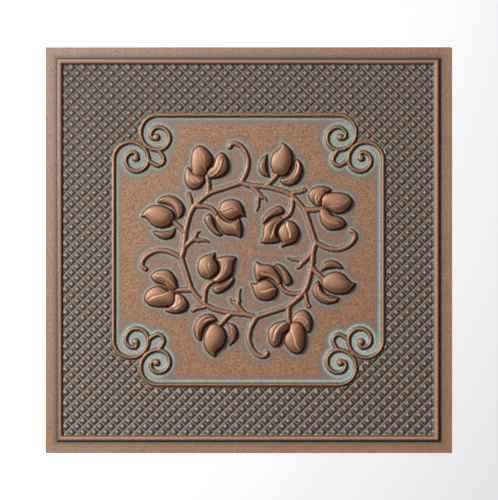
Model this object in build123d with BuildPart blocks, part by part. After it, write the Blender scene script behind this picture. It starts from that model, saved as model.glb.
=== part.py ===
from build123d import *
from math import atan2, ceil, cos, degrees, radians, sin, sqrt
import os

# A ceiling tile in the pressed-metal style, formed in one piece from a thin sheet.
# It lies face up: the flat back is at Z = 0, the relief rises towards +Z and the top
# edge of the pattern is towards +Y. The origin is the middle of the back.

# Sheet
tile_side = 609.6
gauge = 0.8

# Flat flange, from the edge of the tile to the crown of the round bead inside it
flange_width = 21.3
border_width = 8.7
border_height = 3.4

# Diaper field of four-sided studs, set out in diagonal rows
stud_pitch = 17.15
stud_height = 2.4
field_margin = 0.2
field_lift = 0.1

# Ridge round the centre panel, and the arcs (radius, turn) of the volute at each end of a side
frame_side = 405.0
frame_straight = 272.0
ridge_width = 6.5
ridge_height = 3.2
volute_arcs = ((26.0, 180), (17.5, 90), (16.5, 90), (12.0, 90), (6.5, 80))
eye_radius = 3.9
eye_crown = 2.2
eye_height = 3.8
eye_sides = 12

# Loop that closes the corner between two volutes
loop_radius = 9.5
loop_centre = 136.5

# Vine: a ring of stem, with a tendril, stalks and twigs in each quarter
ring_radius = 100.5
stem_width = 6.2
stem_height = 3.4
twig_width = 4.4
twig_height = 2.6
tendril_start = (-14, 98)
tendril_heading = 60
tendril_arcs = ((63.0, 32), (25.4, 80), (8.1, 80))
stalks = [
    ((-59, 81), (-61, 113)),
    ((-95, 26), (-115, 46)),
    ((-80, 63), (-46, 56)),
]
twigs = [
    ((-98, 3), (-75, 26)),
    ((-85, 17), (-60, 13)),
    ((-82, 60), (-91, 84)),
]

# Leaf lobes of one quarter: x, y, direction of the tip, length and width.
# A lobe is a dome, and its height is the same share of the width on all of them.
dome_share = 0.24
shoulder_share = 0.86
shoulder_rise = 0.7
crown_share = 0.5
lobe_step = 30
upper_leaf = [
    (-70, 133, 95, 47, 33),
    (-44, 126, 50, 43, 26),
    (-81, 107, 120, 37, 25),
]
outer_leaf = [
    (-136, 50, 180, 54, 33),
    (-115, 67, 144, 46, 22),
    (-126, 24, 176, 37, 15),
]
inner_leaf = [
    (-24, 61, -10, 43, 29),
    (-28, 35, -32, 47, 23),
    (-53, 38, -56, 39, 14),
]
leaves = [upper_leaf, outer_leaf, inner_leaf]

# Raised forms start half-way down the sheet, so that they grow out of it
root = gauge / 2
border_side = tile_side - 2 * flange_width
row_pitch = stud_pitch / sqrt(2)
row_count = ceil(border_side / sqrt(2) / row_pitch)
field_side = row_count * row_pitch
field_outer = border_side - border_width - 2 * field_margin
volute_radius = volute_arcs[0][0]
volute_centre = frame_side / 2 - volute_radius
corner_side = frame_straight / 2 + volute_centre


def ridge(path, width, height):
    """A ridge with two sloping flanks that follows a path on the sheet."""
    across = Plane(origin=path @ 0, x_dir=Vector(0, 0, 1).cross(path % 0), z_dir=path % 0)
    with BuildPart() as swept:
        with BuildLine():
            add(path)
        with BuildSketch(across):
            with BuildLine():
                Polyline(
                    (-width / 2, root),
                    (-width / 2, gauge),
                    (0, gauge + height),
                    (width / 2, gauge),
                    (width / 2, root),
                    close=True,
                )
            make_face()
        sweep()
    return swept.part


def straight_ridge(start, end, width, height):
    """A straight length of ridge between two points."""
    with BuildLine() as path:
        Line(start, end)
    return ridge(path.wires()[0], width, height)


def lobe(length, width):
    """A domed lobe that lies along X with its middle at the origin."""
    height = dome_share * width
    shoulder_height = gauge - root + shoulder_rise * height
    shoulder_inset = (1 - shoulder_share) * width / 2
    crown_height = (1 - shoulder_rise) * height
    crown_inset = (shoulder_share - crown_share) * width / 2
    corners = []
    for angle in range(0, 360, lobe_step):
        corners.append((length / 2 * cos(radians(angle)), width / 2 * sin(radians(angle))))
    with BuildPart() as dome:
        with BuildSketch(Plane.XY.offset(root)):
            Polygon(*corners, align=None)
        extrude(amount=shoulder_height, taper=degrees(atan2(shoulder_inset, shoulder_height)))
        top = dome.faces().sort_by(Axis.Z)[-1]
        extrude(top, amount=crown_height, taper=degrees(atan2(crown_inset, crown_height)))
    return dome.part


# The panel with the volutes at its corners, out to the far foot of the frame's ridge
with BuildSketch() as panel:
    Rectangle(frame_side, frame_straight)
    Rectangle(frame_straight, frame_side)
    Rectangle(corner_side, corner_side)
    with Locations(
        (-frame_straight / 2, volute_centre),
        (frame_straight / 2, volute_centre),
        (-volute_centre, frame_straight / 2),
        (volute_centre, frame_straight / 2),
    ):
        Circle(volute_radius)
    offset(amount=ridge_width / 2 + field_margin)

# Studs of the top side, as far out as the bead. Two sets of straight rows cross at right
# angles and each crossing leaves one stud; the panel is left clear.
valley = gauge + field_lift
row_profile = [(0, root), (0, valley)]
for row in range(row_count):
    row_profile.append(((row + 0.5) * row_pitch, valley + stud_height))
    row_profile.append(((row + 1) * row_pitch, valley))
row_profile.append((field_side, root))

with BuildPart() as rows:
    with BuildSketch(Plane(origin=(0, 0, 0), x_dir=(1, 1, 0), z_dir=(1, -1, 0))):
        with BuildLine():
            Polyline(*row_profile, close=True)
        make_face()
    extrude(amount=-field_side)

with BuildPart() as studs:
    add(rows.part)
    mirror(rows.part, about=Plane.YZ, mode=Mode.INTERSECT)
    with BuildSketch():
        Rectangle(field_outer, field_outer)
        add(panel.sketch, mode=Mode.SUBTRACT)
    extrude(amount=valley + 2 * stud_height, mode=Mode.INTERSECT)

# One side of the frame: a straight ridge that rolls inwards into a volute at both ends
with BuildLine() as half_side:
    roll = Line((0, frame_side / 2), (-frame_straight / 2, frame_side / 2))
    for radius, turn in volute_arcs:
        roll = JernArc(roll @ 1, roll % 1, radius, turn)

with BuildPart() as frame_edge:
    add(ridge(half_side.wires()[0], ridge_width, ridge_height))
    with BuildSketch(Plane.XY.offset(root)):
        with Locations(roll @ 1):
            RegularPolygon(eye_radius, eye_sides)
    eye_rise = gauge - root + eye_height
    extrude(amount=eye_rise, taper=degrees(atan2(eye_radius - eye_crown, eye_rise)))
    mirror(about=Plane.YZ)

# Loop between the volutes of the top left corner
with BuildLine() as loop_path:
    entry = Line(
        (-frame_straight / 2, volute_centre - volute_radius),
        (-loop_centre + loop_radius * 0.5, loop_centre + loop_radius * 0.9),
    )
    bow = JernArc(entry @ 1, (1, -1), loop_radius, -180)
    Line(bow @ 1, (-volute_centre + volute_radius, frame_straight / 2))

# One quarter of the vine
with BuildLine() as tendril:
    start = Vector(*tendril_start)
    curl = Line(start, start + Vector(1, 0).rotate(Axis.Z, tendril_heading))
    for radius, turn in tendril_arcs:
        curl = JernArc(curl @ 1, curl % 1, radius, turn)

with BuildPart() as vine:
    add(ridge(tendril.wires()[0], stem_width, stem_height))
    for start, end in stalks:
        add(straight_ridge(start, end, stem_width, stem_height))
    for start, end in twigs:
        add(straight_ridge(start, end, twig_width, twig_height))
    for leaf in leaves:
        for x, y, direction, length, width in leaf:
            with Locations(Location((x, y, 0), (0, 0, direction))):
                add(lobe(length, width))

# The tile: the sheet with everything pressed up out of it
with BuildPart() as ceiling_tile:
    with Locations((0, 0, gauge / 2)):
        Box(tile_side, tile_side, gauge)

    # Border bead
    with BuildLine() as border:
        Polyline(
            (0, border_side / 2),
            (-border_side / 2, border_side / 2),
            (-border_side / 2, -border_side / 2),
            (border_side / 2, -border_side / 2),
            (border_side / 2, border_side / 2),
            (0, border_side / 2),
        )
    with BuildSketch(Plane(origin=(0, border_side / 2, 0), x_dir=(0, -1, 0), z_dir=(-1, 0, 0))):
        with BuildLine():
            ThreePointArc(
                (-border_width / 2, gauge),
                (0, gauge + border_height),
                (border_width / 2, gauge),
            )
            Polyline(
                (border_width / 2, gauge),
                (border_width / 2, root),
                (-border_width / 2, root),
                (-border_width / 2, gauge),
            )
        make_face()
    sweep(path=border.wires()[0], transition=Transition.RIGHT)

    # Ring of stem
    with BuildSketch(Plane.XZ):
        with BuildLine():
            Polyline(
                (ring_radius - stem_width / 2, root),
                (ring_radius - stem_width / 2, gauge),
                (ring_radius, gauge + stem_height),
                (ring_radius + stem_width / 2, gauge),
                (ring_radius + stem_width / 2, root),
                close=True,
            )
        make_face()
    revolve(axis=Axis.Z)

    # Everything that comes once on each side
    with PolarLocations(0, 4):
        add(
            [
                studs.part,
                frame_edge.part,
                ridge(loop_path.wires()[0], ridge_width, ridge_height),
                vine.part,
            ]
        )

ceiling_tile.part.label = "ceiling_tile"

os.makedirs("parts", exist_ok=True)
export_step(ceiling_tile.part, "parts/ceiling_tile.step")
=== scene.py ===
# %% [markdown]
# # An embossed ceiling tile in aged copper
#
# The real thing is one thin sheet, about 610 mm square, with a pattern pressed up out of it:
# a flat flange, a round bead, rows of small pyramid studs, a framed panel with scrolled
# corners, and a wreath of vine leaves. It is painted as old copper, and verdigris has gathered
# round the foot of everything that stands up.
#
# A sheet like this is a height map made solid: over every point of the square there is one
# height. So the shape is worked out as an array of heights, one form at a time, and turned
# into a mesh at the end. The patina is worked out from the same array, because on the real
# tile it follows the relief.

# %% Load the frame
import math
import bmesh
import bpy
import numpy as np
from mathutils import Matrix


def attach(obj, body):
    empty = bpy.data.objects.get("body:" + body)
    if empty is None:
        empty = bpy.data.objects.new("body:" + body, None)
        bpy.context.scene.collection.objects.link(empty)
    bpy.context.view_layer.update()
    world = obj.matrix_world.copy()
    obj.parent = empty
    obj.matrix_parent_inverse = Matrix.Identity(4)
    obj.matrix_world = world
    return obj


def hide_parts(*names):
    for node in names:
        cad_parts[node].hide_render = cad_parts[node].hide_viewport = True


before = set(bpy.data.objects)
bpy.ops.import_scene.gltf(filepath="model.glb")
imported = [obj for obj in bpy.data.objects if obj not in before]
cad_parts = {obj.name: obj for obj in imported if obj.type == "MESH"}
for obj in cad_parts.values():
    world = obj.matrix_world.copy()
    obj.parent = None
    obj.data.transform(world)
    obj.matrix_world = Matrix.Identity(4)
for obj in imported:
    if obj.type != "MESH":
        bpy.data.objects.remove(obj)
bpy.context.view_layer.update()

# %% [markdown]
# ## Camera
# The tile is seen from straight above. A long lens far away keeps its sides parallel, and its
# width is chosen so that the tile fills the same part of the picture as in the photograph,
# where it lies about a millimetre beside the middle.

# %% Camera
VIEW_WIDTH = 0.7495
SENSOR_WIDTH = 36
CAMERA_PLACE = (0.0012, -0.0003, 3.0)
camera_data = bpy.data.cameras.new("camera")
camera_data.sensor_fit = "HORIZONTAL"
camera_data.sensor_width = SENSOR_WIDTH
camera_data.lens = CAMERA_PLACE[2] * SENSOR_WIDTH / VIEW_WIDTH
camera = bpy.data.objects.new("camera", camera_data)
camera.location = CAMERA_PLACE
bpy.context.scene.collection.objects.link(camera)
bpy.context.scene.camera = camera
print("lens", round(camera_data.lens, 1), "mm")

# %% [markdown]
# ## The grid of heights
# The crests and grooves of the studs run through the corners of a square grid of 8.575 mm. The
# heights are worked out on a grid that divides it evenly, so that they stay sharp. Only the
# last line at each edge is moved, to the true edge of the tile. All sizes up to the mesh itself
# are in millimetres, as on a drawing.

# %% Grid
SIDE = 609.6
GAUGE = 0.8
STUD = 8.575
STEPS = 8
STEP = STUD / STEPS
HALF = int(SIDE / 2 / STEP)
line = np.arange(-HALF, HALF + 1) * STEP
line[0], line[-1] = -SIDE / 2, SIDE / 2
X, Y = np.meshgrid(line, line, indexing="ij")
print("grid", X.shape, "step", round(STEP, 3), "mm")

# %% [markdown]
# ## Lines
# Bead, frame, scrolls, stems and veins are all lines with a section. Most of them follow a
# smooth curve through a few points, and what a section needs to know is how far every point of
# the grid lies from its line. A Catmull-Rom curve is used, because it passes through the points
# it is given.

# %% Smooth curves
def smooth(points, closed=False, per_span=8):
    """Points along a smooth curve through the given points."""
    p = np.array(points, dtype=float)
    if closed:
        p = np.vstack([p[-1], p, p[0], p[1]])
    else:
        p = np.vstack([2 * p[0] - p[1], p, 2 * p[-1] - p[-2]])
    t = np.linspace(0, 1, per_span, endpoint=False)[:, None]
    spans = []
    for a, b, c, d in zip(p, p[1:], p[2:], p[3:]):
        square = 2 * a - 5 * b + 4 * c - d
        cube = 3 * b - a - 3 * c + d
        spans.append(0.5 * (2 * b + (c - a) * t + square * t**2 + cube * t**3))
    curve = np.vstack(spans)
    return curve if closed else np.vstack([curve, p[-2]])


print("a curve through 3 points has", len(smooth([(0, 0), (10, 5), (20, 0)])), "points")

# %% [markdown]
# A form touches only a small part of the grid. So the work for it is done in a window round its
# points, which keeps the script quick.

# %% Distance from a line
TINY = 1e-9


def window(points, margin):
    """The part of the grid round some points, as slices of the arrays."""
    low = np.searchsorted(line, points.min(axis=0) - margin)
    high = np.searchsorted(line, points.max(axis=0) + margin)
    return slice(low[0], high[0] + 1), slice(low[1], high[1] + 1)


def distance(points, x, y):
    """Distance from each grid point to a chain of points, and how far along the chain that is."""
    best = np.full(x.shape, np.inf)
    along = np.zeros(x.shape)
    count = len(points) - 1
    for n, (a, b) in enumerate(zip(points, points[1:])):
        ab = b - a
        t = np.clip(((x - a[0]) * ab[0] + (y - a[1]) * ab[1]) / max(TINY, ab @ ab), 0, 1)
        d = np.hypot(x - a[0] - t * ab[0], y - a[1] - t * ab[1])
        nearer = d < best
        best = np.where(nearer, d, best)
        along = np.where(nearer, (n + t) / count, along)
    return best, along


print("window of 10 mm", X[window(np.zeros((1, 2)), 10)].shape, "grid points")

# %% Sections
CROWN_POWER, FOOT_POWER = 1.7, 1.4


def round_section(d, half_width, height):
    """A half-round section."""
    u = np.clip(d / half_width, 0, 1)
    return height * np.sqrt(1 - u**2)


def soft_section(d, half_width, height):
    """A bell section with a rounded crown and hollow feet, as pressed sheet takes."""
    u = np.clip(d / half_width, 0, 1)
    return height * (1 - u**CROWN_POWER) ** FOOT_POWER


print("half-way out: round", round_section(1, 2, 1).round(2), "soft", soft_section(1, 2, 1).round(2))

# %% [markdown]
# ## Bead and studs
# The bead is a plain half-round. The studs are four-sided pyramids set out corner to corner,
# with a narrow flat groove between them. Two sets of slanting rows cross at right angles, and
# the lower of the two heights is kept, which gives a pyramid at each crossing.

# %% Bead and studs
BEAD_LINE, BEAD_HALF, BEAD_HEIGHT = 283.6, 4.5, 3.3
STUD_HEIGHT = 2.4
GROOVE = 0.06
edge = np.maximum(abs(X), abs(Y))
bead = round_section(abs(edge - BEAD_LINE), BEAD_HALF, BEAD_HEIGHT)
falling_rows = (X + Y) / (2 * STUD)
rising_rows = (X - Y) / (2 * STUD)
up_falling = abs(falling_rows - np.round(falling_rows))
up_rising = abs(rising_rows - np.round(rising_rows))
climb = 2 * np.minimum(up_falling, up_rising)
studs = STUD_HEIGHT * np.clip((climb - GROOVE) / (1 - GROOVE), 0, 1)
print("bead and studs", round(float(bead.max()), 2), round(float(studs.max()), 2))

# %% [markdown]
# ## Frame and scrolls
# The panel's frame is one ridge a side. At each end it rolls inwards into a scroll, which is a
# half circle followed by smaller and smaller arcs, and ends in an eye. Two scrolls meet at
# each corner, and a small loop ties them together.

# %% Frame lines
FRAME_LINE, FRAME_STRAIGHT = 202.9, 136.0
SCROLL_ARCS = ((26.2, 180), (17.6, 90), (16.4, 90), (12.0, 90), (4.8, 140))
LOOP_POINTS = [
    (-136, 151), (-130.6, 144.5), (-127.2, 136.5), (-130, 129.8), (-136.5, 127.2), (-144.3, 130.6),
    (-151, 136),
]
DEGREES_A_PIECE = 9


def arcs(start, heading, steps):
    """Points along tangent arcs that turn left, given as radius and turn."""
    x, y = start
    points = [(x, y)]
    for radius, turn in steps:
        cx, cy = x - radius * math.sin(heading), y + radius * math.cos(heading)
        pieces = int(turn / DEGREES_A_PIECE)
        for _ in range(pieces):
            heading += math.radians(turn / pieces)
            points.append((cx + radius * math.sin(heading), cy - radius * math.cos(heading)))
        x, y = points[-1]
    return points


roll = arcs((-FRAME_STRAIGHT, FRAME_LINE), math.pi, SCROLL_ARCS)
scroll = np.array([(0, FRAME_LINE)] + roll)
eye = scroll[-1]
loop = smooth(LOOP_POINTS)
print("eye of the scroll at", eye.round(1))

# %% [markdown]
# Only one quarter of the frame and of the wreath is drawn. The others are that quarter turned
# round the middle. Half a side of the frame is mirrored first, which gives the scroll at its
# other end.

# %% Four quarters
def four_times(values, combine=np.maximum):
    """A form of one quarter, repeated by quarter turns round the middle of the tile."""
    whole = values
    for _ in range(3):
        values = np.rot90(values)
        whole = combine(whole, values)
    return whole


one_point = np.zeros((5, 5))
one_point[1, 4] = 1
print("one point becomes", int(four_times(one_point).sum()), "points")

# %% Frame relief
RIDGE_HALF, RIDGE_HEIGHT = 3.4, 3.1
EYE_RADIUS, EYE_HEIGHT = 5.2, 3.8
EYE_CORE = 2.0
FRAME_MARGIN = 16
FAR = 99.0
part = window(np.vstack([scroll, loop]), FRAME_MARGIN)
x, y = X[part], Y[part]
d_line = np.minimum(distance(scroll, x, y)[0], distance(loop, x, y)[0])
d_eye = np.hypot(x - eye[0], y - eye[1])
ridge = soft_section(d_line, RIDGE_HALF, RIDGE_HEIGHT)
quarter = np.zeros_like(X)
quarter[part] = np.maximum(ridge, round_section(d_eye, EYE_RADIUS, EYE_HEIGHT))
frame_relief = four_times(np.maximum(quarter, quarter[::-1, :]))
near = np.full_like(X, FAR)
near[part] = np.minimum(d_line, np.maximum(d_eye - EYE_CORE, 0))
from_frame = four_times(np.minimum(near, near[::-1, :]), np.minimum)
print("frame", round(float(frame_relief.max()), 2), "mm high")

# %% [markdown]
# The studs stop at the frame. Inside the scrolls and the panel the sheet is flat, so the
# field is switched off there: the panel is a square with a wide arm on each side, and each
# scroll adds a circle to it.

# %% Field without the panel
FRAME_CLEARANCE = 2.0
SCROLL_RADIUS = SCROLL_ARCS[0][0]
SCROLL_CENTRE = FRAME_LINE - SCROLL_RADIUS
ax, ay = abs(X), abs(Y)
long_side, short_side = np.maximum(ax, ay), np.minimum(ax, ay)
in_arm = (long_side < FRAME_LINE) & (short_side < FRAME_STRAIGHT)
in_scroll = np.hypot(long_side - SCROLL_CENTRE, short_side - FRAME_STRAIGHT) < SCROLL_RADIUS
in_square = long_side < (FRAME_STRAIGHT + SCROLL_CENTRE) / 2
panel = in_arm | in_scroll | in_square
clear_of_frame = np.clip((from_frame - RIDGE_HALF) / FRAME_CLEARANCE, 0, 1)
field = np.where(panel | (edge > BEAD_LINE), 0, studs * clear_of_frame)
print("share of the tile that is field", round(float((field > 0).mean()), 3))

# %% [markdown]
# ## Stems
# The vine runs round in a ring, and each quarter has the same twigs. A stem is round-backed.
# Its width changes evenly from one end to the other, and a thicker stretch also stands higher.
# The twigs of the fork run out almost to points, and the stub has a hollow in its end.

# %% Points of the stems
# Half-width at the start and at the end, height, and points along the stem
STEMS = {
    "stem": (3.5, 3.5, 3.3, [
        (-101, -10.5), (-97.5, 0), (-96.4, 13), (-94.8, 27), (-91.8, 41), (-87.5, 55), (-81.5, 65.5),
        (-72, 75), (-60, 84.5), (-50, 88.5), (-35, 93.3), (-18, 98.8), (-11, 101),
    ]),
    "tendril": (3.6, 3.4, 3.3, [
        (-17, 99), (-12, 101.5), (-7, 109.5), (-2.4, 120), (-0.6, 134), (-4.5, 147), (-11.5, 156),
        (-19.5, 160.3), (-25.5, 159), (-28.3, 154.8),
    ]),
    "next_stem": (3.4, 3.3, 3.0, [(-14, 100.5), (-8, 100.2), (2, 98)]),
    "upper_stalk": (3.7, 3.4, 3.4, [(-60.5, 84), (-60.3, 92), (-60.2, 100), (-61.5, 111)]),
    "outer_stalk": (3.4, 3.6, 3.4, [(-94.5, 24), (-100, 31), (-106.5, 37.3), (-114, 44.5)]),
    "inner_stalk": (3.4, 3.0, 3.2, [
        (-80, 66.5), (-70.5, 66), (-62.5, 65.2), (-56, 62.8), (-51, 58.5), (-48, 53.5),
    ]),
    "fork": (2.6, 4.3, 3.0, [(-96, 3.5), (-89, 11.5), (-82.5, 17)]),
    "fork_up": (4.0, 0.9, 2.8, [(-83, 17), (-79.5, 21), (-78, 25), (-73.5, 27.5)]),
    "fork_side": (4.0, 0.9, 2.8, [(-83, 16.5), (-75, 14.6), (-66, 14.4), (-59, 12.2)]),
    "stub": (2.9, 3.3, 2.7, [(-84, 62), (-86.5, 70), (-87.3, 77), (-90.5, 84)]),
}
print("stems in a quarter", len(STEMS))

# %% Stem relief
STEM_HALF = 3.5
STEM_MARGIN = 8
THIN_SHARE = 0.6
BACK_POWER = 0.62
STUB_END, HOLLOW_RADIUS, HOLLOW_DEPTH = (-90.3, 83.6), 1.5, 1.6
stem_relief = np.zeros_like(X)
for start_half, end_half, height, points in STEMS.values():
    points = smooth(points)
    part = window(points, STEM_MARGIN)
    d, along = distance(points, X[part], Y[part])
    half = start_half + (end_half - start_half) * along
    rise = height * (THIN_SHARE + (1 - THIN_SHARE) * half / STEM_HALF)
    stem = rise * np.clip(1 - (d / half) ** 2, 0, 1) ** BACK_POWER
    stem_relief[part] = np.maximum(stem_relief[part], stem)
hollow = round_section(np.hypot(X - STUB_END[0], Y - STUB_END[1]), HOLLOW_RADIUS, HOLLOW_DEPTH)
stem_relief = np.maximum(stem_relief - hollow, 0)
print("stems", round(float(stem_relief.max()), 2), "mm high")

# %% [markdown]
# ## Leaves
# Each leaf is three swollen lobes, like cushions. The height of a cushion over an outline is
# the height a stretched film takes when it is blown up from below, so that is what is solved
# here: the film's equation on the grid, by averaging each point with its neighbours again and
# again. The square root of the film is fuller, like a cushion. The edge itself comes from the
# exact distance to the outline, so it stays smooth between grid points.

# %% Blown film over an outline
def inside(points, x, y):
    """True for grid points inside a closed outline."""
    result = np.zeros(x.shape, dtype=bool)
    for (x0, y0), (x1, y1) in zip(points, np.roll(points, -1, axis=0)):
        if y0 == y1:
            continue
        crosses = (y0 > y) != (y1 > y)
        result ^= crosses & (x < (x1 - x0) * (y - y0) / (y1 - y0) + x0)
    return result


def blown(mask, rounds=700):
    """Height of a film blown up over a mask, from 0 to 1."""
    film = np.zeros(mask.shape)
    for _ in range(rounds):
        around = film[:-2, 1:-1] + film[2:, 1:-1] + film[1:-1, :-2] + film[1:-1, 2:]
        film[1:-1, 1:-1] = np.where(mask[1:-1, 1:-1], around / 4 + 1, 0)
    return np.sqrt(film / max(film.max(), TINY))


print("film over a disc, in its middle", blown(np.hypot(X, Y)[window(np.zeros((1, 2)), 10)] < 8).max())

# %% Lobe shape
LOBE_MARGIN = 4
LOBE_EDGE = 3.5
FLAT_SHARE = 0.25


def outline_curve(outline, pointed):
    """A smooth closed outline with pointed corners at the points that have these numbers."""
    if not pointed:
        return smooth(outline, closed=True)
    ends = list(pointed) + [pointed[0] + len(outline)]
    runs = []
    for start, end in zip(ends, ends[1:]):
        run = [outline[n % len(outline)] for n in range(start, end + 1)]
        runs.append(smooth(run)[:-1])
    return np.vstack(runs)


def lobe(outline, height, pointed):
    """The part of the grid under one lobe, and the lobe's relief there."""
    points = outline_curve(outline, pointed)
    part = window(points, LOBE_MARGIN)
    x, y = X[part], Y[part]
    closed = np.vstack([points, points[:1]])
    depth = np.where(inside(points, x, y), distance(closed, x, y)[0], 0)
    edge_rise = 1 - (1 - np.clip(depth / LOBE_EDGE, 0, 1)) ** 2
    return part, height * edge_rise * (FLAT_SHARE + (1 - FLAT_SHARE) * blown(depth > 0))


# %% Points of the lobes
# Height, numbers of the pointed corners, and outline. They are listed in the order in which
# they are laid on one another.
LOBES = {
    "upper_low": (6.0, (0,), [
        (-91.8, 125.5), (-95, 117.5), (-96.2, 109), (-95, 101.5), (-91.5, 95), (-86.5, 91.2), (-81, 90),
        (-74.5, 92.5), (-68.5, 98), (-65.3, 104), (-65.5, 109.5), (-72, 111.5), (-79, 112.5), (-84, 117),
        (-87, 122.5),
    ]),
    "upper_main": (7.4, (), [
        (-65, 110), (-77, 110), (-84, 115.5), (-86.3, 126), (-86, 139.5), (-83.5, 149), (-78.5, 155),
        (-72.5, 156.8), (-65, 154), (-58.5, 147.8), (-54, 139.5), (-54.3, 131.5), (-57.5, 125.5),
        (-61.5, 120), (-62.5, 115),
    ]),
    "upper_side": (7.0, (), [
        (-63.5, 112), (-61, 119.5), (-57, 124), (-53.3, 126.5), (-51.2, 133), (-49, 139.5), (-45.3, 144.5),
        (-40, 146.5), (-34.5, 143.5), (-30.8, 136.5), (-29.3, 128.5), (-30.3, 120), (-35.5, 113.5),
        (-43, 109), (-52, 106.7), (-60, 108),
    ]),
    "outer_low": (4.8, (0, 6), [
        (-145, 28.8), (-141, 23.8), (-134.5, 18.2), (-126.5, 15.6), (-118.5, 16.6), (-112, 21.4),
        (-108.6, 33.5), (-115.5, 30.3), (-123, 28.3), (-133, 28),
    ]),
    "outer_top": (5.4, (0,), [
        (-138, 72), (-131, 69.8), (-124, 68.6), (-117.5, 65.6), (-112, 60.5), (-109, 54), (-106.5, 47),
        (-101.5, 48.5), (-97.8, 53.5), (-96, 60.5), (-97.5, 68), (-102.5, 74.5), (-110, 79.5),
        (-119, 81.8), (-128, 80.6), (-134.5, 77),
    ]),
    "outer_main": (7.6, (0,), [
        (-162.8, 49.2), (-156.5, 48.8), (-151, 44.5), (-146, 38.5), (-139, 34.3), (-130, 32.8),
        (-122, 34.6), (-116, 38.2), (-112, 43.5), (-110.2, 50.5), (-112.5, 57.5), (-119, 62.3),
        (-128, 66.3), (-138, 67.6), (-147.5, 65.5), (-154.5, 61), (-159.5, 54.8),
    ]),
    "inner_side": (5.0, (9,), [
        (-58, 54), (-63, 52.6), (-65.8, 48.5), (-65.3, 42.5), (-62.6, 37.3), (-58.8, 31.5), (-53.5, 25.8),
        (-48, 22), (-42, 21), (-37, 23), (-41.5, 26.5), (-46, 31.5), (-49.8, 38), (-52, 45.5), (-54, 51),
    ]),
    "inner_top": (6.8, (0, 11), [
        (-44.5, 58), (-43.3, 65), (-40, 71), (-34, 75), (-26.5, 76.7), (-19, 75.6), (-12.8, 72.4),
        (-9, 67), (-7, 60.5), (-5.6, 55), (-3.8, 51.5), (-1.8, 49), (-7.5, 49.8), (-12.5, 50.2),
        (-17.5, 46.8), (-24, 44.6), (-31, 45.3), (-38, 50),
    ]),
    "inner_mid": (6.4, (0, 7, 11), [
        (-47.5, 54), (-43, 52.5), (-39.5, 48.5), (-34.5, 44.4), (-28, 42.6), (-21.5, 43.8), (-17.5, 46.3),
        (-13.5, 50.2), (-10.8, 43), (-9, 33), (-9.2, 24), (-11.3, 16.8), (-18, 20.4), (-26, 21.9),
        (-34, 22.9), (-40, 27), (-45, 34), (-49, 41), (-50.5, 48),
    ]),
}
lobe_parts = {}
for name, (height, pointed, outline) in LOBES.items():
    lobe_parts[name] = lobe(outline, height, pointed)
print("lobes", {name: round(float(shape.max()), 1) for name, (_, shape) in lobe_parts.items()})

# %% [markdown]
# ## Veins
# A vein is a thin raised line with a furrow beside it, to the lower right in the quarter that
# is drawn. Both fade at their ends. Where the vein runs is kept as a mask of its own, because
# the crest of a vein is rubbed bright on the real tile and also gets a painted highlight.

# %% Points of the veins
# Height, depth of the furrow, and points along the vein
VEINS = {
    "upper_low": [
        (1.0, 1.2, [(-90, 112.5), (-87, 106.5), (-83, 102.7), (-78, 101.7), (-71.5, 102.5), (-66.5, 106)]),
        (0.5, 0.8, [(-86, 114), (-82.5, 109), (-77.5, 105.8), (-73, 105.5)]),
    ],
    "upper_main": [
        (0.9, 1.3, [
            (-78, 152), (-72.8, 145.5), (-70.3, 139.5), (-69, 133), (-66.5, 125.5), (-63.6, 119),
            (-62, 114),
        ]),
    ],
    "upper_side": [
        (1.2, 1.2, [(-38.5, 138), (-39.3, 131), (-41, 125), (-45, 118), (-51, 112.4), (-59, 108.5)]),
    ],
    "outer_top": [
        (1.3, 1.6, [(-134, 74.8), (-124, 75.2), (-115.5, 72.5), (-109, 67.5), (-105, 61), (-104, 53.5)]),
    ],
    "inner_top": [
        (0.8, 1.2, [(-43.5, 59), (-37, 58.6), (-31, 61), (-24.5, 63), (-17, 62.5)]),
    ],
    "inner_mid": [
        (1.1, 1.3, [(-46.5, 52.5), (-42.5, 46), (-36.5, 40.8), (-29, 37.8), (-23, 36.3), (-17, 32.5)]),
    ],
}
print("veins in a quarter", sum(len(veins) for veins in VEINS.values()))

# %% Vein shape
VEIN_WIDTH, FURROW_WIDTH, VEIN_LINE_WIDTH = 1.4, 1.6, 1.35
FURROW_SHIFT = np.array((1.3, -1.3))
FADE = 12
FULL_VEIN_HEIGHT = 2
THINNEST = 0.2


def bell(values, width):
    """1 where the values are 0, and fading on both sides of that over a width."""
    return np.exp(-(values / width) ** 2)


def veined(shape, vein, x, y):
    """A lobe's relief with one vein on it, and the mask of that vein."""
    rise, furrow, points = vein
    points = smooth(points)
    d, along = distance(points, x, y)
    beside = distance(points + FURROW_SHIFT, x, y)[0]
    fade = np.clip(FADE * along * (1 - along), 0, 1)
    change = fade * (rise * bell(d, VEIN_WIDTH) - furrow * bell(beside, FURROW_WIDTH))
    carved = shape + change * np.clip(shape / FULL_VEIN_HEIGHT, 0, 1)
    return np.where(shape > 0, np.maximum(carved, THINNEST), 0), fade * bell(d, VEIN_LINE_WIDTH)


print("share of a vein's height left at 1 mm", round(float(bell(1, VEIN_WIDTH)), 2))

# %% [markdown]
# ## How lobes overlap
# A lobe laid on another has a groove along its edge. So where a lobe goes on, the ones below
# are first cut down under it, and then the higher of the two is kept. No leaf stands higher
# than 7.9 mm, so that the veins stay inside the height of the solid.

# %% Put the leaves together
CUT_DOWN = 1.2
LEAF_TOP = 7.9
leaf_relief = np.zeros_like(X)
vein_line = np.zeros_like(X)
for name, (part, shape) in lobe_parts.items():
    for vein in VEINS.get(name, ()):
        shape, mask_of_vein = veined(shape, vein, X[part], Y[part])
        vein_line[part] = np.maximum(vein_line[part], mask_of_vein)
    below = leaf_relief[part]
    leaf_relief[part] = np.where(shape > 0, np.maximum(shape, np.minimum(below, CUT_DOWN)), below)
leaf_relief = np.minimum(leaf_relief, LEAF_TOP)
print("leaves", round(float(leaf_relief.max()), 2), "mm high")

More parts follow.
